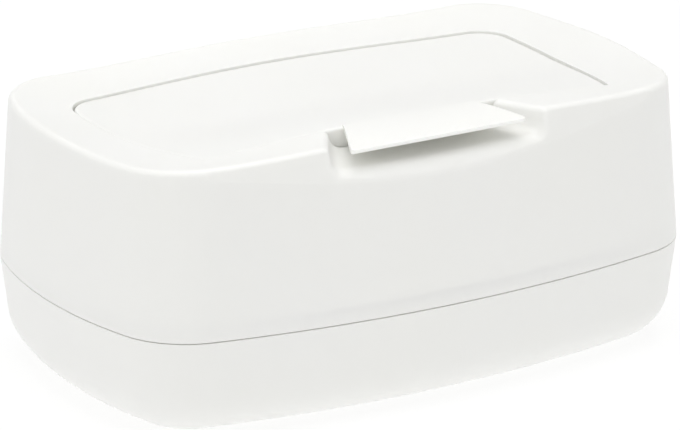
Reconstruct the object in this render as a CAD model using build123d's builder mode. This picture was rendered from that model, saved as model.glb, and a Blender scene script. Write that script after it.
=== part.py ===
"""Countertop wipes dispenser: a base tub, a lift-off cover with a hinged lid and a weighted plate inside.

Lengths are in millimetres. X runs along the length, the finger scoop faces -Y, and z = 0 is the table.
"""

import os
from math import atan2, cos, hypot, radians, sin, sqrt, tan

from build123d import *

os.makedirs("parts", exist_ok=True)

# Levels above the table
FOOT_STAND = 0.8
SEAM_Z = 35.9
RIM_Z = 90.9

# Outline of the body at the parting line and at the rim: half sizes, bows of the four sides, corner radius
SEAM_HALF_LENGTH = 110.0
SEAM_HALF_WIDTH = 70.9
SEAM_END_BOW = 16.6
SEAM_SIDE_BOW = 15.4
SEAM_CORNER = 27.9
END_DRAW_IN = 4.2
SIDE_DRAW_IN = 7.1
RIM_HALF_LENGTH = SEAM_HALF_LENGTH - END_DRAW_IN
RIM_HALF_WIDTH = SEAM_HALF_WIDTH - SIDE_DRAW_IN
RIM_END_BOW = 12.5
RIM_SIDE_BOW = 8.0
RIM_CORNER = 25.9

# Shells
WALL = 3.0
DECK = 2.4
BASE_DRAFT = 0.12
BASE_EDGE_RADIUS = 18.3
BASE_FLOOR = 2.6
SEAM_GAP = 0.3
TONGUE_INSET = 1.6
TONGUE_HEIGHT = 4.0
TONGUE_CLEARANCE = 0.35
SEAL_HEIGHT = 0.9
SEAL_INSET = 0.2
REST_CLEARANCE = 0.05
SEAM_EDGE_RADIUS = 0.3
RIM_EDGE_RADIUS = 2.0

# Lid
END_BORDER = 22.5
BACK_BORDER = 17.2
FRONT_BORDER = 19.9
LID_HALF_LENGTH = RIM_HALF_LENGTH - END_BORDER
LID_BACK_Y = RIM_HALF_WIDTH - BACK_BORDER
LID_FRONT_Y = FRONT_BORDER - RIM_HALF_WIDTH
LID_WIDEST_Y = LID_BACK_Y - 33.0
LID_END_BOW = 7.6
LID_BACK_BOW = 9.6
LID_BACK_CORNER = 12.8
LID_FRONT_CORNER = 6.9
LID_GAP = 0.7
LID_STEP = 0.3
LID_THICKNESS = 2.2
LID_SKIRT = 1.8
LID_EDGE_RADIUS = 0.8
SKIRT_Z = RIM_Z - 10.5

# Dished deck: hollow towards the back, raised along the front edge
DISH_DEPTH = 5.6
FRONT_RISE = 2.3
DISH_FRONT_Y = LID_FRONT_Y
DISH_BACK_Y = DISH_FRONT_Y + 49.0
DECK_MARGIN = 6.0

# Bevel across the top of the front wall
BEVEL_SETBACK = 2.5
BEVEL_Y = BEVEL_SETBACK - RIM_HALF_WIDTH
BEVEL_Z = RIM_Z + 2.0
BEVEL_BOW_RADIUS = 965.0
BEVEL_ANGLE = 74.0

# Finger tab on the lid
TAB_ROOT_HALF_WIDTH = 24.9
TAB_TIP_HALF_WIDTH = 33.2
TAB_SETBACK = 1.3
TAB_TIP_Y = TAB_SETBACK - RIM_HALF_WIDTH
TAB_TIP_Z = RIM_Z + 0.2
TAB_THICKNESS = 1.5
TAB_ROOT_THICKENING = 0.6
TAB_CORNER = 1.2

# Finger scoop in the cover: a trough that opens through the front wall with a rolled lip
SCOOP_BACK_Y = LID_FRONT_Y + 0.5
SCOOP_BACK_HALF_WIDTH = 30.6
SCOOP_BACK_FLOOR_Z = RIM_Z - 5.4
SCOOP_FLARE = 0.568
SCOOP_FALL = 0.088
SCOOP_CORNER = 5.0
SCOOP_LEAN = 1.8
SCOOP_SAG = 0.9
SCOOP_TOP_Z = RIM_Z + 12.0
SCOOP_EDGE_RADIUS = 2.5
LIP_SETBACK = 4.5
LIP_Y = LIP_SETBACK - RIM_HALF_WIDTH
LIP_RADIUS = 6.0
LIP_TURN = 50.0
LIP_STEPS = 4

# Recess under the lid and the pocket that the lid's rear edge turns down into
RECESS_FLOOR_Z = RIM_Z - 14.0
RECESS_WALL = 2.2
HINGE_SETBACK = 18.6
HINGE_Y = LID_BACK_Y - HINGE_SETBACK
HINGE_Z = RIM_Z - 7.5
SWEEP_CLEARANCE = 0.65
HINGE_SWEEP = hypot(HINGE_SETBACK, HINGE_Z - SKIRT_Z) + SWEEP_CLEARANCE
HINGE_POCKET_Y = HINGE_Y - 7.0
PIN_RADIUS = 1.5
PIN_IN_LID = 9.8
PIN_IN_COVER = 2.2
PIN_START_X = LID_HALF_LENGTH - PIN_IN_LID
PIN_END_X = LID_HALF_LENGTH + PIN_IN_COVER
PIN_BOSS_RADIUS = 2.6
PIN_BOSS_COVER = 1.5
LID_BOSS_COVER = 1.5
PRESS_CLEARANCE = 0.01
RUNNING_CLEARANCE = 0.08

# Dispensing aperture in the recess floor
APERTURE_Y = -8.0
APERTURE_LENGTH = 72.0
APERTURE_WIDTH = 36.0
NECK_WALL = 1.6
NECK_Z = RIM_Z - 12.0
NECK_MARGIN = 5.0
FRAME_FLANGE = 1.1
FRAME_MARGIN = 3.2
FRAME_WALL = 1.8
FRAME_DEPTH = 4.4
MEMBRANE_THICKNESS = 1.0
MEMBRANE_HOLE_LENGTH = 20.0
MEMBRANE_HOLE_WIDTH = 10.0
SLIT_WIDTH = 0.6
FIT_CLEARANCE = 0.1

# Inner plate and seal of the lid
LINER_THICKNESS = 1.6
LINER_Z = RIM_Z - 10.2
LINER_BACK_Y = HINGE_Y - 13.0

# Weighted plate
RIB_TOP_Z = 8.0
RIB_WIDTH = 2.0
RIB_MARGIN = 12.0
PLATE_END_ROOM = 25.0
PLATE_SIDE_ROOM = 27.9
PLATE_LENGTH = 2 * (SEAM_HALF_LENGTH - PLATE_END_ROOM)
PLATE_WIDTH = 2 * (SEAM_HALF_WIDTH - PLATE_SIDE_ROOM)
PLATE_THICKNESS = 6.4
PLATE_CORNER = 16.0
PLATE_WALL = 1.4
PLATE_OPENING_LENGTH = 66.0
PLATE_OPENING_WIDTH = 30.0
BAR_MARGIN = 19.0
BAR_LENGTH = PLATE_LENGTH - 2 * BAR_MARGIN
BAR_WIDTH = 18.0
BAR_THICKNESS = 3.2
BAR_Y = (PLATE_WIDTH + PLATE_OPENING_WIDTH) / 4

# Foot pads
FOOT_RADIUS = 8.0
FOOT_RECESS = 1.2
FOOT_END_SETBACK = 38.0
FOOT_SIDE_SETBACK = 36.9
FOOT_X = SEAM_HALF_LENGTH - FOOT_END_SETBACK
FOOT_Y = SEAM_HALF_WIDTH - FOOT_SIDE_SETBACK


def outline_at(level):
    """The five outline sizes of the body at a level, which change evenly from the parting line to the rim."""
    share = (level - SEAM_Z) / (RIM_Z - SEAM_Z)
    at_seam = (SEAM_HALF_LENGTH, SEAM_HALF_WIDTH, SEAM_END_BOW, SEAM_SIDE_BOW, SEAM_CORNER)
    at_rim = (RIM_HALF_LENGTH, RIM_HALF_WIDTH, RIM_END_BOW, RIM_SIDE_BOW, RIM_CORNER)
    return [low + share * (high - low) for low, high in zip(at_seam, at_rim)]


def bowed_arcs(half_length, half_width, end_bow, side_bow, corner, inset):
    """Start, middle and end of the eight arcs of a rounded rectangle with bowed sides, moved inwards by inset."""
    end_radius = (half_width**2 + end_bow**2) / (2 * end_bow)
    side_radius = (half_length**2 + side_bow**2) / (2 * side_bow)
    end_centre = half_length - end_radius
    side_centre = half_width - side_radius
    apart = hypot(end_centre, side_centre)
    from_end = end_radius - corner
    from_side = side_radius - corner
    along = (from_end**2 - from_side**2 + apart**2) / (2 * apart)
    across = sqrt(from_end**2 - along**2)
    toward_x = -end_centre / apart
    toward_y = side_centre / apart
    corner_x = end_centre + along * toward_x - across * toward_y
    corner_y = along * toward_y + across * toward_x
    end_turn = atan2(corner_y, corner_x - end_centre)
    side_turn = atan2(corner_y - side_centre, corner_x)
    middle_turn = (end_turn + side_turn) / 2
    end = (end_centre + (end_radius - inset) * cos(end_turn), (end_radius - inset) * sin(end_turn))
    side = ((side_radius - inset) * cos(side_turn), side_centre + (side_radius - inset) * sin(side_turn))
    bend = (corner_x + (corner - inset) * cos(middle_turn), corner_y + (corner - inset) * sin(middle_turn))
    right = (half_length - inset, 0)
    back = (0, half_width - inset)

    def turned(point, x_sign, y_sign):
        return (point[0] * x_sign, point[1] * y_sign)

    arcs = [(turned(end, 1, -1), right, end)]
    arcs.append((end, bend, side))
    arcs.append((side, back, turned(side, -1, 1)))
    arcs.append((turned(side, -1, 1), turned(bend, -1, 1), turned(end, -1, 1)))
    arcs.append((turned(end, -1, 1), turned(right, -1, 1), turned(end, -1, -1)))
    arcs.append((turned(end, -1, -1), turned(bend, -1, -1), turned(side, -1, -1)))
    arcs.append((turned(side, -1, -1), turned(back, 1, -1), turned(side, 1, -1)))
    arcs.append((turned(side, 1, -1), turned(bend, 1, -1), turned(end, 1, -1)))
    return arcs


def body_section(outline_level, level, inset):
    """The body's outline of one level, drawn at another and moved inwards."""
    with BuildSketch(Plane.XY.offset(level)) as section:
        with BuildLine():
            for arc in bowed_arcs(*outline_at(outline_level), inset):
                ThreePointArc(*arc)
        make_face()
    return section.sketch


def base_section(level, inset):
    """The base tub's outline at a level, which draws in below the parting line."""
    return body_section(SEAM_Z, level, inset + BASE_DRAFT * (SEAM_Z - level))


def deck_height(x, y):
    """Height of the dished deck over one point of the plan."""
    reach = ((x / RIM_HALF_LENGTH) ** 4 + (y / RIM_HALF_WIDTH) ** 4) ** 1.5
    dish = DISH_DEPTH * (1 - reach) / (1 + reach**2 / 4)
    share = min(1.0, max(0.0, (DISH_BACK_Y - y) / (DISH_BACK_Y - DISH_FRONT_Y)))
    forward = share * share * (3 - 2 * share)
    lifted = forward * (1 - (x / RIM_HALF_LENGTH) ** 2)
    crown = 1 - (x / (RIM_HALF_LENGTH + DECK_MARGIN)) ** 2
    return RIM_Z - dish * (1 - lifted) + FRONT_RISE * forward * crown


def lid_section(level, grow):
    """The lid's outline, drawn at a level and moved outwards."""
    reach = LID_WIDEST_Y - LID_FRONT_Y
    end_radius = (reach**2 + LID_END_BOW**2) / (2 * LID_END_BOW)
    back_radius = (LID_HALF_LENGTH**2 + LID_BACK_BOW**2) / (2 * LID_BACK_BOW)
    with BuildSketch(Plane.XY.offset(level)) as section:
        with Locations((0, LID_FRONT_Y - grow + LID_HALF_LENGTH)):
            Rectangle(4 * LID_HALF_LENGTH, 2 * LID_HALF_LENGTH)
        with Locations((0, LID_BACK_Y - back_radius)):
            Circle(back_radius + grow, mode=Mode.INTERSECT)
        with Locations((LID_HALF_LENGTH - end_radius, LID_WIDEST_Y)):
            Circle(end_radius + grow, mode=Mode.INTERSECT)
        with Locations((end_radius - LID_HALF_LENGTH, LID_WIDEST_Y)):
            Circle(end_radius + grow, mode=Mode.INTERSECT)
        corners = section.vertices().filter_by(lambda vertex: abs(vertex.Y - LID_WIDEST_Y) > LID_BACK_CORNER)
        back_corners = corners.filter_by(lambda vertex: vertex.Y > LID_WIDEST_Y)
        front_corners = corners.filter_by(lambda vertex: vertex.Y < LID_WIDEST_Y)
        fillet(back_corners, LID_BACK_CORNER + grow)
        fillet(front_corners, LID_FRONT_CORNER + grow)
    return section.sketch


def oval(level, length, width, y):
    """A slot-shaped face with round ends."""
    with BuildSketch(Plane.XY.offset(level)) as section:
        with Locations((0, y)):
            SlotOverall(length, width)
    return section.sketch


def scoop_section(y, grow):
    """The U-shaped section of the finger scoop at one place along Y, moved outwards by grow."""
    forward = SCOOP_BACK_Y - y
    half_width = SCOOP_BACK_HALF_WIDTH + SCOOP_FLARE * forward + grow
    floor_z = SCOOP_BACK_FLOOR_Z - SCOOP_FALL * forward - grow
    low_x = half_width - SCOOP_LEAN
    high_x = half_width + SCOOP_LEAN * (SCOOP_TOP_Z - RIM_Z) / (RIM_Z - floor_z)
    low_z = floor_z + SCOOP_SAG
    high_z = SCOOP_TOP_Z
    with BuildSketch(Plane.XZ.offset(-y)) as section:
        with BuildLine():
            Line((-low_x, low_z), (-high_x, high_z))
            Line((-high_x, high_z), (high_x, high_z))
            Line((high_x, high_z), (low_x, low_z))
            ThreePointArc((low_x, low_z), (0, floor_z), (-low_x, low_z))
        make_face()
        fillet(section.vertices().group_by(Axis.Z)[0], SCOOP_CORNER)
    return section.sketch


# Deck surface, made as one smooth face over a grid of the plan
COLUMNS = [(SEAM_HALF_LENGTH + DECK_MARGIN) * (step / 8 - 1) for step in range(17)]
ROWS = [(SEAM_HALF_WIDTH + DECK_MARGIN) * (step / 11 - 1) for step in range(23)]
GRID = [[Vector(x, y, deck_height(x, y)) for y in ROWS] for x in COLUMNS]
DECK_FACE = Face.make_surface_from_array_of_points(GRID)

# Base tub
base_top = SEAM_Z - SEAM_GAP / 2
with BuildPart() as base_tub:
    loft([base_section(FOOT_STAND, 0), base_section(base_top, 0)], ruled=True)
    fillet(base_tub.edges().group_by(Axis.Z)[0], BASE_EDGE_RADIUS)
with BuildPart() as base_hollow:
    hollow_floor = FOOT_STAND + BASE_FLOOR
    loft([base_section(hollow_floor, WALL), base_section(base_top, WALL)], ruled=True)
    fillet(base_hollow.edges().group_by(Axis.Z)[0], BASE_EDGE_RADIUS - WALL)
rib_reach = RIB_TOP_Z - hollow_floor
with BuildPart() as base_ribs:
    with BuildSketch(Plane.XY.offset(RIB_TOP_Z)):
        with GridLocations(0, PLATE_WIDTH - 2 * RIB_MARGIN, 1, 2):
            Rectangle(PLATE_LENGTH, RIB_WIDTH)
        with GridLocations(PLATE_LENGTH / 2, 0, 2, 1):
            Rectangle(RIB_WIDTH, PLATE_WIDTH)
    extrude(amount=-rib_reach)
with BuildPart() as base_tongue:
    add(body_section(SEAM_Z, base_top, TONGUE_INSET))
    extrude(amount=TONGUE_HEIGHT + SEAM_GAP / 2)
    add(body_section(SEAM_Z, base_top, WALL))
    extrude(amount=TONGUE_HEIGHT + SEAM_GAP / 2, mode=Mode.SUBTRACT)
with base_tub:
    outer_edges = base_tub.faces().sort_by(Axis.Z)[-1].edges()
    fillet(outer_edges, SEAM_EDGE_RADIUS)
    add(base_hollow.part, mode=Mode.SUBTRACT)
    add(base_ribs.part)
    add(base_tongue.part)
    with BuildSketch(Plane.XY.offset(FOOT_STAND)):
        with GridLocations(2 * FOOT_X, 2 * FOOT_Y, 2, 2):
            Circle(FOOT_RADIUS + FIT_CLEARANCE)
    extrude(amount=FOOT_RECESS, mode=Mode.SUBTRACT)
base_tub.part.label = "base_tub"

# Seal that lies on the tongue
tongue_top = SEAM_Z + TONGUE_HEIGHT
with BuildPart() as base_seal:
    add(body_section(SEAM_Z, tongue_top, TONGUE_INSET + SEAL_INSET))
    extrude(amount=SEAL_HEIGHT)
    add(body_section(SEAM_Z, tongue_top, WALL - SEAL_INSET))
    extrude(amount=SEAL_HEIGHT, mode=Mode.SUBTRACT)
base_seal.part.label = "base_seal"

# Cover: outer form
cover_bottom = SEAM_Z + SEAM_GAP / 2
cover_reach = RIM_Z + 8
bevel_lean = 1 / tan(radians(BEVEL_ANGLE))
with BuildPart() as cover_shell:
    loft([body_section(cover_bottom, cover_bottom, 0), body_section(cover_reach, cover_reach, 0)], ruled=True)
    fillet(cover_shell.edges().group_by(Axis.Z)[0], SEAM_EDGE_RADIUS)
    extrude(DECK_FACE, amount=30, dir=(0, 0, 1), mode=Mode.SUBTRACT)
with BuildPart() as bevel_tool:
    with BuildSketch(Plane.XY.offset(BEVEL_Z + 10)):
        with Locations((0, BEVEL_Y + 10 * bevel_lean - 20)):
            Rectangle(260, 60)
        with Locations((0, BEVEL_Y + 10 * bevel_lean + BEVEL_BOW_RADIUS)):
            Circle(BEVEL_BOW_RADIUS, mode=Mode.SUBTRACT)
    extrude(amount=40, dir=(0, -bevel_lean, -1))
with cover_shell:
    add(bevel_tool.part, mode=Mode.SUBTRACT)
    rim_edges = cover_shell.edges().filter_by(lambda edge: edge.center().Z > RIM_Z - 4)
    fillet(rim_edges.filter_by(lambda edge: edge.bounding_box().size.Z < 5), RIM_EDGE_RADIUS)

# Finger scoop and the solid that its wall is made from
# The trough is straight as far as the lip, then flares as a quarter-round does
scoop_start = SCOOP_BACK_Y + 6
turns = [radians(LIP_TURN) * step / LIP_STEPS for step in range(LIP_STEPS + 1)]
lip_sections = [scoop_section(LIP_Y - LIP_RADIUS * sin(turn), LIP_RADIUS * (1 - cos(turn))) for turn in turns]
run_out = 8.0
lip_end_y = LIP_Y - LIP_RADIUS * sin(turns[-1])
lip_end_grow = LIP_RADIUS * (1 - cos(turns[-1]))
end_section = scoop_section(lip_end_y - run_out, lip_end_grow + run_out * tan(turns[-1]))
with BuildPart() as scoop_tool:
    loft([scoop_section(scoop_start, 0), lip_sections[0]], ruled=True)
    loft(lip_sections)
    loft([lip_sections[-1], end_section], ruled=True)
with BuildPart() as scoop_block:
    loft([scoop_section(scoop_start + DECK, DECK), scoop_section(LIP_Y - 2 * run_out, DECK)], ruled=True)

# Recess for the lid with the pocket behind the hinge, and the solid that its wall is made from
with BuildPart() as recess_tool:
    extrude(lid_section(RECESS_FLOOR_Z, LID_GAP), amount=30)
    with BuildSketch(Plane.YZ.offset(-LID_HALF_LENGTH - LID_GAP)) as pocket_side:
        with Locations((HINGE_Y, HINGE_Z)):
            Circle(HINGE_SWEEP)
        with Locations((HINGE_POCKET_Y - 50, HINGE_Z)):
            Rectangle(100, 100, mode=Mode.SUBTRACT)
    pocket = extrude(amount=2 * (LID_HALF_LENGTH + LID_GAP), mode=Mode.PRIVATE)
    add(pocket & extrude(lid_section(RECESS_FLOOR_Z - 20, LID_GAP), amount=40, mode=Mode.PRIVATE))
with BuildPart() as recess_block:
    block_gap = LID_GAP + RECESS_WALL
    extrude(lid_section(RECESS_FLOOR_Z - RECESS_WALL, block_gap), amount=30)
    with BuildSketch(Plane.YZ.offset(-LID_HALF_LENGTH - block_gap)) as block_side:
        with Locations((HINGE_Y, HINGE_Z)):
            Circle(HINGE_SWEEP + RECESS_WALL)
        with Locations((HINGE_POCKET_Y - RECESS_WALL - 50, HINGE_Z)):
            Rectangle(100, 100, mode=Mode.SUBTRACT)
    block = extrude(amount=2 * (LID_HALF_LENGTH + block_gap), mode=Mode.PRIVATE)
    add(block & extrude(lid_section(RECESS_FLOOR_Z - 24, block_gap), amount=40, mode=Mode.PRIVATE))
    with BuildSketch(Plane.YZ.offset(-PIN_END_X - PIN_BOSS_COVER)) as boss_side:
        with Locations((HINGE_Y, HINGE_Z)):
            Circle(PIN_BOSS_RADIUS)
    extrude(amount=2 * (PIN_END_X + PIN_BOSS_COVER))

# Cover: hollow inside, then the scoop, the recess and the aperture
with BuildPart() as cover_hollow:
    loft([body_section(cover_bottom, cover_bottom, WALL), body_section(cover_reach, cover_reach, WALL)], ruled=True)
    extrude(DECK_FACE.moved(Location((0, 0, -DECK))), amount=30, dir=(0, 0, 1), mode=Mode.SUBTRACT)
    add(bevel_tool.part.moved(Location((0, DECK, 0))), mode=Mode.SUBTRACT)
    add(recess_block.part, mode=Mode.SUBTRACT)
    add(scoop_block.part, mode=Mode.SUBTRACT)
with BuildPart() as cover_rebate:
    add(body_section(SEAM_Z, cover_bottom - 1, TONGUE_INSET - TONGUE_CLEARANCE))
    extrude(amount=tongue_top + SEAL_HEIGHT + REST_CLEARANCE - cover_bottom + 1)
with cover_shell:
    add(recess_tool.part, mode=Mode.SUBTRACT)
    add(scoop_tool.part, mode=Mode.SUBTRACT)
    scoop_edges = cover_shell.edges(Select.LAST).filter_by(lambda edge: edge.center().Y < LID_FRONT_Y - 3)
    scoop_reach = SCOOP_BACK_HALF_WIDTH + 12
    fillet(scoop_edges.filter_by(lambda edge: abs(edge.center().X) < scoop_reach), SCOOP_EDGE_RADIUS)
    add(cover_hollow.part, mode=Mode.SUBTRACT)
    add(cover_rebate.part, mode=Mode.SUBTRACT)
    neck_length = APERTURE_LENGTH + 2 * (NECK_MARGIN + NECK_WALL)
    neck_width = APERTURE_WIDTH + 2 * (NECK_MARGIN + NECK_WALL)
    extrude(oval(RECESS_FLOOR_Z, neck_length, neck_width, APERTURE_Y), amount=NECK_Z - RECESS_FLOOR_Z)
    inner_neck = oval(RECESS_FLOOR_Z, neck_length - 2 * NECK_WALL, neck_width - 2 * NECK_WALL, APERTURE_Y)
    extrude(inner_neck, amount=NECK_Z - RECESS_FLOOR_Z, mode=Mode.SUBTRACT)
    hole = oval(RECESS_FLOOR_Z - RECESS_WALL, APERTURE_LENGTH, APERTURE_WIDTH, APERTURE_Y)
    extrude(hole, amount=RECESS_WALL, mode=Mode.SUBTRACT)
    with BuildSketch(Plane.YZ.offset(-PIN_END_X)):
        with Locations((HINGE_Y, HINGE_Z)):
            Circle(PIN_RADIUS + PRESS_CLEARANCE)
    extrude(amount=2 * PIN_END_X, mode=Mode.SUBTRACT)
cover_shell.part.label = "cover_shell"

# Hinge pins, pressed into the cover's bosses
with BuildPart() as hinge_pin_right:
    with BuildSketch(Plane.YZ.offset(PIN_START_X)):
        with Locations((HINGE_Y, HINGE_Z)):
            Circle(PIN_RADIUS)
    extrude(amount=PIN_END_X - PIN_START_X)
    chamfer(hinge_pin_right.edges().group_by(Axis.X)[0], 0.3)
hinge_pin_right.part.label = "hinge_pin_right"
with BuildPart() as hinge_pin_left:
    add(mirror(hinge_pin_right.part, about=Plane.YZ))
hinge_pin_left.part.label = "hinge_pin_left"

# Frame that clips into the aperture and holds the membrane
frame_length = APERTURE_LENGTH - 2 * FIT_CLEARANCE
frame_width = APERTURE_WIDTH - 2 * FIT_CLEARANCE
mouth_length = frame_length - 2 * FRAME_WALL
mouth_width = frame_width - 2 * FRAME_WALL
with BuildPart() as aperture_frame:
    flange_length = APERTURE_LENGTH + 2 * FRAME_MARGIN
    flange_width = APERTURE_WIDTH + 2 * FRAME_MARGIN
    extrude(oval(RECESS_FLOOR_Z, flange_length, flange_width, APERTURE_Y), amount=FRAME_FLANGE)
    fillet(aperture_frame.edges().group_by(Axis.Z)[-1], 0.4)
    extrude(oval(RECESS_FLOOR_Z, frame_length, frame_width, APERTURE_Y), amount=-FRAME_DEPTH)
    mouth = oval(RECESS_FLOOR_Z + FRAME_FLANGE, mouth_length, mouth_width, APERTURE_Y)
    extrude(mouth, amount=-FRAME_FLANGE - FRAME_DEPTH, mode=Mode.SUBTRACT)
    clip_z = RECESS_FLOOR_Z - RECESS_WALL - FIT_CLEARANCE
    with BuildSketch(Plane.XY.offset(clip_z)):
        with GridLocations(mouth_length * 0.5, 0, 2, 1):
            with Locations((0, APERTURE_Y)):
                Rectangle(8, frame_width + 1.2)
                Rectangle(9, mouth_width, mode=Mode.SUBTRACT)
    extrude(amount=-1.4)
    seat = oval(RECESS_FLOOR_Z - 1.6, mouth_length + 1.4, mouth_width + 1.4, APERTURE_Y)
    extrude(seat, amount=-MEMBRANE_THICKNESS, mode=Mode.SUBTRACT)
aperture_frame.part.label = "aperture_frame"

# Soft membrane with a central hole and slits that let a wipe through and grip it
with BuildPart() as aperture_membrane:
    seat_level = RECESS_FLOOR_Z - 1.6
    extrude(oval(seat_level, mouth_length + 1.2, mouth_width + 1.2, APERTURE_Y), amount=-MEMBRANE_THICKNESS)
    with BuildSketch(Plane.XY.offset(seat_level)):
        with Locations((0, APERTURE_Y)):
            SlotOverall(MEMBRANE_HOLE_LENGTH, MEMBRANE_HOLE_WIDTH)
            Rectangle(mouth_length - 12, SLIT_WIDTH)
            Rectangle(SLIT_WIDTH, mouth_width - 6)
            with Locations((-5, 0), (5, 0)):
                Rectangle(SLIT_WIDTH, mouth_width - 8)
    extrude(amount=-MEMBRANE_THICKNESS, mode=Mode.SUBTRACT)
aperture_membrane.part.label = "aperture_membrane"

# Lid: panel that follows the deck, skirt round it, finger tab and hinge bosses
with BuildPart() as lid_panel:
    extrude(lid_section(SKIRT_Z, 0), amount=30)
    extrude(DECK_FACE.moved(Location((0, 0, -LID_STEP))), amount=30, dir=(0, 0, 1), mode=Mode.SUBTRACT)
    fillet(lid_panel.edges().filter_by(lambda edge: edge.center().Z > SKIRT_Z + 4), LID_EDGE_RADIUS)
with BuildPart() as lid_hollow:
    extrude(lid_section(SKIRT_Z, -LID_SKIRT), amount=30)
    under_face = DECK_FACE.moved(Location((0, 0, -LID_STEP - LID_THICKNESS)))
    extrude(under_face, amount=30, dir=(0, 0, 1), mode=Mode.SUBTRACT)
    boss_start = PIN_START_X - LID_BOSS_COVER
    for start in (boss_start, -LID_HALF_LENGTH):
        with BuildSketch(Plane.YZ.offset(start)):
            with Locations((HINGE_Y, HINGE_Z)):
                Circle(PIN_BOSS_RADIUS)
        extrude(amount=LID_HALF_LENGTH - boss_start, mode=Mode.SUBTRACT)
with BuildPart() as lid_tab:
    with BuildSketch(Plane.YZ.offset(-TAB_TIP_HALF_WIDTH)) as tab_side:
        with BuildLine():
            root = (LID_FRONT_Y + LID_SKIRT / 2, RIM_Z + FRONT_RISE - LID_STEP)
            tip = (TAB_TIP_Y, TAB_TIP_Z)
            middle = (TAB_TIP_Y * 0.5 + root[0] * 0.5, TAB_TIP_Z * 0.3 + root[1] * 0.7)
            ThreePointArc(root, middle, tip)
            Line(tip, (tip[0], tip[1] - TAB_THICKNESS))
            ThreePointArc(
                (tip[0], tip[1] - TAB_THICKNESS),
                (middle[0], middle[1] - TAB_THICKNESS),
                (root[0], root[1] - TAB_THICKNESS - TAB_ROOT_THICKENING),
            )
            Line((root[0], root[1] - TAB_THICKNESS - TAB_ROOT_THICKENING), root)
        make_face()
        fillet(tab_side.vertices().group_by(Axis.Y)[0], TAB_THICKNESS * 0.4)
    extrude(amount=2 * TAB_TIP_HALF_WIDTH)
    with BuildSketch(Plane.XY.offset(RIM_Z - 5)) as tab_plan:
        with BuildLine():
            Polyline(
                (-TAB_ROOT_HALF_WIDTH, LID_FRONT_Y + LID_SKIRT),
                (TAB_ROOT_HALF_WIDTH, LID_FRONT_Y + LID_SKIRT),
                (TAB_ROOT_HALF_WIDTH, LID_FRONT_Y),
                (TAB_TIP_HALF_WIDTH, TAB_TIP_Y),
                (-TAB_TIP_HALF_WIDTH, TAB_TIP_Y),
                (-TAB_ROOT_HALF_WIDTH, LID_FRONT_Y),
                close=True,
            )
        make_face()
        fillet(tab_plan.vertices().group_by(Axis.Y)[0], TAB_CORNER)
    extrude(amount=12, mode=Mode.INTERSECT)
with lid_panel:
    add(lid_hollow.part, mode=Mode.SUBTRACT)
    add(lid_tab.part)
    for start in (boss_start, -LID_HALF_LENGTH):
        with BuildSketch(Plane.YZ.offset(start)):
            with Locations((HINGE_Y, HINGE_Z)):
                Circle(PIN_RADIUS + RUNNING_CLEARANCE)
        extrude(amount=LID_HALF_LENGTH - boss_start, mode=Mode.SUBTRACT)
lid_panel.part.label = "lid_panel"

# Plate inside the lid, and the soft ring under it that closes on the neck
liner_gap = LID_SKIRT + FIT_CLEARANCE
with BuildPart() as lid_liner:
    extrude(lid_section(LINER_Z, -liner_gap), amount=LINER_THICKNESS)
    with BuildSketch(Plane.XY.offset(LINER_Z)):
        with Locations((0, LINER_BACK_Y + 50)):
            Rectangle(2 * LID_HALF_LENGTH, 100)
    extrude(amount=LINER_THICKNESS, mode=Mode.SUBTRACT)
lid_liner.part.label = "lid_liner"
with BuildPart() as lid_seal:
    seal_reach = LINER_Z - NECK_Z - REST_CLEARANCE
    extrude(oval(LINER_Z, neck_length + 1.0, neck_width + 1.0, APERTURE_Y), amount=-seal_reach)
    inner_seal = oval(LINER_Z, neck_length - 2 * NECK_WALL - 1.0, neck_width - 2 * NECK_WALL - 1.0, APERTURE_Y)
    extrude(inner_seal, amount=-seal_reach, mode=Mode.SUBTRACT)
lid_seal.part.label = "lid_seal"

# Weighted plate: two shells round a pair of bars
bar_room = BAR_THICKNESS + 2 * FIT_CLEARANCE
with BuildPart() as weight_plate_lower:
    with BuildSketch(Plane.XY.offset(RIB_TOP_Z)) as plate_plan:
        RectangleRounded(PLATE_LENGTH, PLATE_WIDTH, PLATE_CORNER)
        SlotOverall(PLATE_OPENING_LENGTH, PLATE_OPENING_WIDTH, mode=Mode.SUBTRACT)
    lower_height = PLATE_WALL + bar_room
    extrude(amount=lower_height)
    fillet(weight_plate_lower.edges().group_by(Axis.Z)[0], 1.0)
    with BuildSketch(Plane.XY.offset(RIB_TOP_Z + PLATE_WALL)):
        with GridLocations(0, 2 * BAR_Y, 1, 2):
            Rectangle(BAR_LENGTH + 2 * FIT_CLEARANCE, BAR_WIDTH + 2 * FIT_CLEARANCE)
    extrude(amount=bar_room, mode=Mode.SUBTRACT)
weight_plate_lower.part.label = "weight_plate_lower"
with BuildPart() as weight_plate_upper:
    add(plate_plan.sketch.moved(Location((0, 0, lower_height))))
    extrude(amount=PLATE_THICKNESS - lower_height)
    fillet(weight_plate_upper.edges().group_by(Axis.Z)[-1], 0.6)
weight_plate_upper.part.label = "weight_plate_upper"
plate_pieces = [weight_plate_lower, weight_plate_upper]
for side, y in (("front", -BAR_Y), ("back", BAR_Y)):
    with BuildPart() as weight_bar:
        with BuildSketch(Plane.XY.offset(RIB_TOP_Z + PLATE_WALL + FIT_CLEARANCE)):
            with Locations((0, y)):
                Rectangle(BAR_LENGTH, BAR_WIDTH)
        extrude(amount=BAR_THICKNESS)
    weight_bar.part.label = "weight_bar_" + side
    plate_pieces.append(weight_bar)

# Foot pads
foot_pieces = []
for side, y in (("front", -FOOT_Y), ("back", FOOT_Y)):
    for end, x in (("left", -FOOT_X), ("right", FOOT_X)):
        with BuildPart() as foot_pad:
            with BuildSketch(Plane.XY):
                with Locations((x, y)):
                    Circle(FOOT_RADIUS)
            extrude(amount=FOOT_STAND + FOOT_RECESS)
            fillet(foot_pad.edges().group_by(Axis.Z)[0], 0.4)
        foot_pad.part.label = "foot_pad_" + side + "_" + end
        foot_pieces.append(foot_pad)

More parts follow.
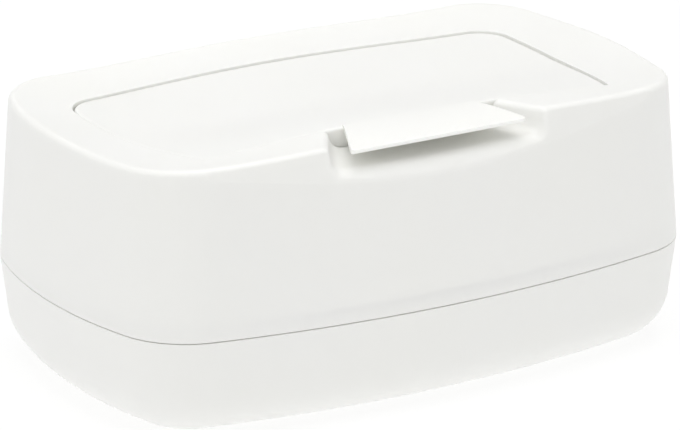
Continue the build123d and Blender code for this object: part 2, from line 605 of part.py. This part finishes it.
cover_pieces = [cover_shell, hinge_pin_left, hinge_pin_right, aperture_frame, aperture_membrane]
lid_pieces = [lid_panel, lid_liner, lid_seal]
for piece in [base_tub, base_seal] + cover_pieces + lid_pieces + plate_pieces + foot_pieces:
    export_step(piece.part, "parts/" + piece.part.label + ".step")
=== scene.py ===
"""Looks of the countertop wipes dispenser: satin moulded white plastic in soft, bright studio light.

Lengths are in metres. X runs along the box, the finger scoop faces -Y, and z = 0 is the table.
"""

import math

import bpy
from mathutils import Matrix, Vector

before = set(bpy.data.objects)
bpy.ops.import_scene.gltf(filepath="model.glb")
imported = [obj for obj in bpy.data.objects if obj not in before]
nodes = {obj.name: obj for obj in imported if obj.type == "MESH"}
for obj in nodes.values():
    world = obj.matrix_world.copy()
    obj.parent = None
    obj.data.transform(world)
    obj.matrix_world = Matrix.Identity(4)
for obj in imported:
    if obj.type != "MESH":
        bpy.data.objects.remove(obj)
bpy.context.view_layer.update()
MM = 0.001

# Moulded plastic: spacing of the flow marks, change of roughness between them, strength of the grain
FLOW_MARK_MM = 45
FLOW_GLOSS_CHANGE = 0.03
GRAIN_STRENGTH = 0.35

# Steel: change of roughness between the lines, their strength and depth
LINE_GLOSS_CHANGE = 0.06
LINE_STRENGTH = 0.3
LINE_DEPTH_MM = 0.01

# Smooth shading: reach of the join of loose corners, and the angle from which an edge stays crisp
JOIN_MM = 0.002
CRISP_DEGREES = 28

# Studio
FLOOR_HALF = 3.0
FLOOR_TINT = "8C8C8C"
FLOOR_GLOW = 0.76
SURROUND_STRENGTH = 0.57
OBJECT_MIDDLE = (0, 0, 0.045)
SOFT_BOXES = [
    ("overhead_soft_box", (0.1, 0.25, 1.3), 1.2, 3.2),
    ("front_soft_box", (0.05, -0.35, 1.3), 1.2, 5.6),
    ("left_soft_box", (-0.75, -0.15, 0.9), 1.0, 2.0),
]

# Camera: sensor and lens, shift of the picture, range, place and its three axes
SENSOR_MM = 36.0
LENS_MM = 269.8
CAMERA_SHIFT = -0.018
CAMERA_REACH = 20.0
CAMERA_PLACE = Vector((-0.8183, -1.3704, 0.5982))
CAMERA_RIGHT = Vector((0.8586, -0.5127, 0.0))
CAMERA_UP = Vector((0.1667, 0.2791, 0.9457))
CAMERA_BACK = Vector((-0.4848, -0.8120, 0.3251))


# ---------------------------------------------------------------- shader helpers

def linear(hex_colour):
    """An sRGB hex value as linear red, green, blue and alpha."""
    channels = [int(hex_colour[i:i + 2], 16) / 255 for i in (0, 2, 4)]
    return [c / 12.92 if c <= 0.04045 else ((c + 0.055) / 1.055) ** 2.4 for c in channels] + [1.0]


def add_node(tree, kind, settings=None, links=None, **inputs):
    """Adds one node to a tree, with its settings, its socket values and the sockets linked into it."""
    made = tree.nodes.new(kind)
    for name, value in (settings or {}).items():
        setattr(made, name, value)
    for name, value in inputs.items():
        made.inputs[name.replace("_", " ")].default_value = value
    for name, source in (links or {}).items():
        tree.links.new(source, made.inputs[name])
    return made


def moulded_plastic(name, tint, shade, roughness, grain_mm, grain_depth_mm, ior=1.49, scatter_mm=0.0):
    """Injection-moulded plastic: an even colour, a fine spark-eroded grain, faint flow marks in the gloss and,
    where scatter_mm is given, light that spreads that far under the surface and softens narrow grooves."""
    material = bpy.data.materials.new(name)
    material.use_nodes = True
    tree = material.node_tree
    tree.nodes.clear()
    place = add_node(tree, "ShaderNodeTexCoord").outputs["Object"]
    grain = add_node(tree, "ShaderNodeTexNoise", links={"Vector": place},
                     Scale=1 / (grain_mm * MM), Detail=2.0, Roughness=0.6)
    flow = add_node(tree, "ShaderNodeTexNoise", links={"Vector": place},
                    Scale=1 / (FLOW_MARK_MM * MM), Detail=1.0, Roughness=0.4)
    colour = add_node(tree, "ShaderNodeMix", {"data_type": "RGBA"})
    colour.inputs[6].default_value = linear(shade)
    colour.inputs[7].default_value = linear(tint)
    tree.links.new(flow.outputs["Fac"], colour.inputs[0])
    gloss = add_node(tree, "ShaderNodeMapRange", links={"Value": flow.outputs["Fac"]},
                     From_Min=0.3, From_Max=0.7,
                     To_Min=roughness - FLOW_GLOSS_CHANGE, To_Max=roughness + FLOW_GLOSS_CHANGE)
    bump = add_node(tree, "ShaderNodeBump", links={"Height": grain.outputs["Fac"]},
                    Strength=GRAIN_STRENGTH, Distance=grain_depth_mm * MM)
    surface = add_node(tree, "ShaderNodeBsdfPrincipled", IOR=ior, Subsurface_Weight=float(scatter_mm > 0),
                       Subsurface_Radius=(1.0, 1.0, 1.0), Subsurface_Scale=scatter_mm * MM,
                       links={"Base Color": colour.outputs[2], "Roughness": gloss.outputs["Result"],
                              "Normal": bump.outputs["Normal"]})
    add_node(tree, "ShaderNodeOutputMaterial", links={"Surface": surface.outputs["BSDF"]})
    return material


def steel(name, tint, roughness, grain_mm, along):
    """Drawn or rolled steel: fine lines along the draw and a little unevenness in the gloss."""
    material = bpy.data.materials.new(name)
    material.use_nodes = True
    tree = material.node_tree
    tree.nodes.clear()
    place = add_node(tree, "ShaderNodeTexCoord").outputs["Object"]
    turned = add_node(tree, "ShaderNodeMapping", links={"Vector": place}, Scale=along)
    lines = add_node(tree, "ShaderNodeTexNoise", links={"Vector": turned.outputs["Vector"]},
                     Scale=1 / (grain_mm * MM), Detail=3.0, Roughness=0.6)
    gloss = add_node(tree, "ShaderNodeMapRange", links={"Value": lines.outputs["Fac"]},
                     To_Min=roughness - LINE_GLOSS_CHANGE, To_Max=roughness + LINE_GLOSS_CHANGE)
    bump = add_node(tree, "ShaderNodeBump", links={"Height": lines.outputs["Fac"]},
                    Strength=LINE_STRENGTH, Distance=LINE_DEPTH_MM * MM)
    surface = add_node(tree, "ShaderNodeBsdfPrincipled", Base_Color=linear(tint), Metallic=1.0,
                       links={"Roughness": gloss.outputs["Result"], "Normal": bump.outputs["Normal"]})
    add_node(tree, "ShaderNodeOutputMaterial", links={"Surface": surface.outputs["BSDF"]})
    return material


# ---------------------------------------------------------------- materials

# Polypropylene, injection moulded in a finely spark-eroded tool: white, satin, with a soft wide highlight
satin_polypropylene = moulded_plastic("satin_polypropylene", "F8F8F3", "F6F6F1", 0.42, 0.5, 0.02,
                                      scatter_mm=1.0)
# The same plastic from the lid's smoother tool: a little more gloss
lid_polypropylene = moulded_plastic("lid_polypropylene", "F8F8F3", "F6F6F1", 0.38, 0.45, 0.015,
                                    scatter_mm=1.0)
# Inner mouldings, from a plainer tool: duller
inner_polypropylene = moulded_plastic("inner_polypropylene", "ECECEA", "E8E8E6", 0.5, 0.6, 0.03)
# Liquid silicone rubber, moulded: slightly grey and soft-looking
silicone_rubber = moulded_plastic("silicone_rubber", "D6D9DB", "CFD2D4", 0.55, 0.4, 0.02, ior=1.41)
# Thermoplastic elastomer of the feet: matt grey
soft_elastomer = moulded_plastic("soft_elastomer", "A6A9AB", "9C9FA1", 0.75, 0.6, 0.05)
# Stainless wire of the hinge pins, drawn: bright, with lines along its length
drawn_stainless = steel("drawn_stainless", "C9C8C4", 0.28, 0.3, (0.05, 1.0, 1.0))
# Mild steel flat bar, rolled: grey and dull
rolled_steel = steel("rolled_steel", "8E8D8A", 0.45, 0.5, (0.08, 1.0, 1.0))

FINISHES = {
    "base_tub": satin_polypropylene,
    "cover_shell": satin_polypropylene,
    "lid_panel": lid_polypropylene,
    "lid_liner": inner_polypropylene,
    "aperture_frame": inner_polypropylene,
    "weight_plate_lower": inner_polypropylene,
    "weight_plate_upper": inner_polypropylene,
    "base_seal": silicone_rubber,
    "lid_seal": silicone_rubber,
    "aperture_membrane": silicone_rubber,
    "hinge_pin_left": drawn_stainless,
    "hinge_pin_right": drawn_stainless,
    "weight_bar_front": rolled_steel,
    "weight_bar_back": rolled_steel,
}


# ---------------------------------------------------------------- surface finish of the moulded solids

def smoothing_tree():
    """Joins the loose triangles and shades them smooth, with edges sharper than an angle left crisp."""
    tree = bpy.data.node_groups.new("moulded_smoothing", "GeometryNodeTree")
    tree.is_modifier = True
    tree.interface.new_socket("Geometry", in_out="INPUT", socket_type="NodeSocketGeometry")
    join = tree.interface.new_socket("Join Distance", in_out="INPUT", socket_type="NodeSocketFloat")
    crisp = tree.interface.new_socket("Crisp Angle", in_out="INPUT", socket_type="NodeSocketFloat")
    join.default_value = JOIN_MM * MM
    crisp.default_value = math.radians(CRISP_DEGREES)
    tree.interface.new_socket("Geometry", in_out="OUTPUT", socket_type="NodeSocketGeometry")
    given = add_node(tree, "NodeGroupInput")
    merged = add_node(tree, "GeometryNodeMergeByDistance",
                      links={"Geometry": given.outputs["Geometry"], "Distance": given.outputs["Join Distance"]})
    angle = add_node(tree, "GeometryNodeInputMeshEdgeAngle")
    soft = add_node(tree, "FunctionNodeCompare", {"data_type": "FLOAT", "operation": "LESS_THAN"},
                    links={"A": angle.outputs["Unsigned Angle"], "B": given.outputs["Crisp Angle"]})
    faces = add_node(tree, "GeometryNodeSetShadeSmooth", {"domain": "FACE"},
                     links={"Geometry": merged.outputs["Geometry"]})
    edges = add_node(tree, "GeometryNodeSetShadeSmooth", {"domain": "EDGE"},
                     links={"Geometry": faces.outputs["Geometry"], "Shade Smooth": soft.outputs["Result"]})
    add_node(tree, "NodeGroupOutput", links={"Geometry": edges.outputs["Geometry"]})
    return tree


smoothing = smoothing_tree()
for name, piece in nodes.items():
    finish = FINISHES.get(name, soft_elastomer)
    if not piece.material_slots:
        piece.data.materials.append(finish)
    for slot in piece.material_slots:
        slot.material = finish
    shading = piece.modifiers.new("moulded_smoothing", "NODES")
    shading.node_group = smoothing
    weighting = piece.modifiers.new("weighted_normals", "WEIGHTED_NORMAL")
    weighting.keep_sharp = True


# ---------------------------------------------------------------- floor, light and camera

def opal_acrylic(name, tint, glow):
    """Opal acrylic sheet lit from below: a white table that takes only a faint shadow."""
    material = bpy.data.materials.new(name)
    material.use_nodes = True
    surface = material.node_tree.nodes["Principled BSDF"]
    surface.inputs["Base Color"].default_value = linear(tint)
    surface.inputs["Roughness"].default_value = 0.9
    surface.inputs["Specular IOR Level"].default_value = 0.0
    surface.inputs["Emission Color"].default_value = (1.0, 1.0, 1.0, 1.0)
    surface.inputs["Emission Strength"].default_value = glow
    return material


floor_mesh = bpy.data.meshes.new("studio_floor")
floor_corners = [(-FLOOR_HALF, -FLOOR_HALF, 0), (FLOOR_HALF, -FLOOR_HALF, 0),
                 (FLOOR_HALF, FLOOR_HALF, 0), (-FLOOR_HALF, FLOOR_HALF, 0)]
floor_mesh.from_pydata(floor_corners, [], [(0, 1, 2, 3)])
floor = bpy.data.objects.new("studio_floor", floor_mesh)
bpy.context.scene.collection.objects.link(floor)
floor.data.materials.append(opal_acrylic("opal_acrylic", FLOOR_TINT, FLOOR_GLOW))


def area_light(name, place, target, size, power):
    """A square soft box at a place, turned to a target."""
    light = bpy.data.lights.new(name, "AREA")
    light.shape = "SQUARE"
    light.size = size
    light.energy = power
    lamp = bpy.data.objects.new(name, light)
    bpy.context.scene.collection.objects.link(lamp)
    lamp.location = place
    lamp.rotation_euler = (Vector(target) - Vector(place)).to_track_quat("-Z", "Y").to_euler()
    return lamp


for box_name, box_place, box_size, box_power in SOFT_BOXES:
    area_light(box_name, box_place, OBJECT_MIDDLE, box_size, box_power)

studio = bpy.data.worlds.new("studio_surround")
bpy.context.scene.world = studio
studio.use_nodes = True
studio_light = studio.node_tree.nodes["Background"]
studio_light.inputs["Color"].default_value = (1.0, 1.0, 1.0, 1.0)
studio_light.inputs["Strength"].default_value = SURROUND_STRENGTH

camera_data = bpy.data.cameras.new("camera")
camera_data.sensor_width = SENSOR_MM
camera_data.lens = LENS_MM
camera_data.shift_y = CAMERA_SHIFT
camera_data.clip_end = CAMERA_REACH
camera = bpy.data.objects.new("camera", camera_data)
bpy.context.scene.collection.objects.link(camera)
turn = Matrix((CAMERA_RIGHT, CAMERA_UP, CAMERA_BACK)).transposed().to_4x4()
camera.matrix_world = Matrix.Translation(CAMERA_PLACE) @ turn
bpy.context.scene.camera = camera
bpy.context.scene.view_settings.view_transform = "Standard"
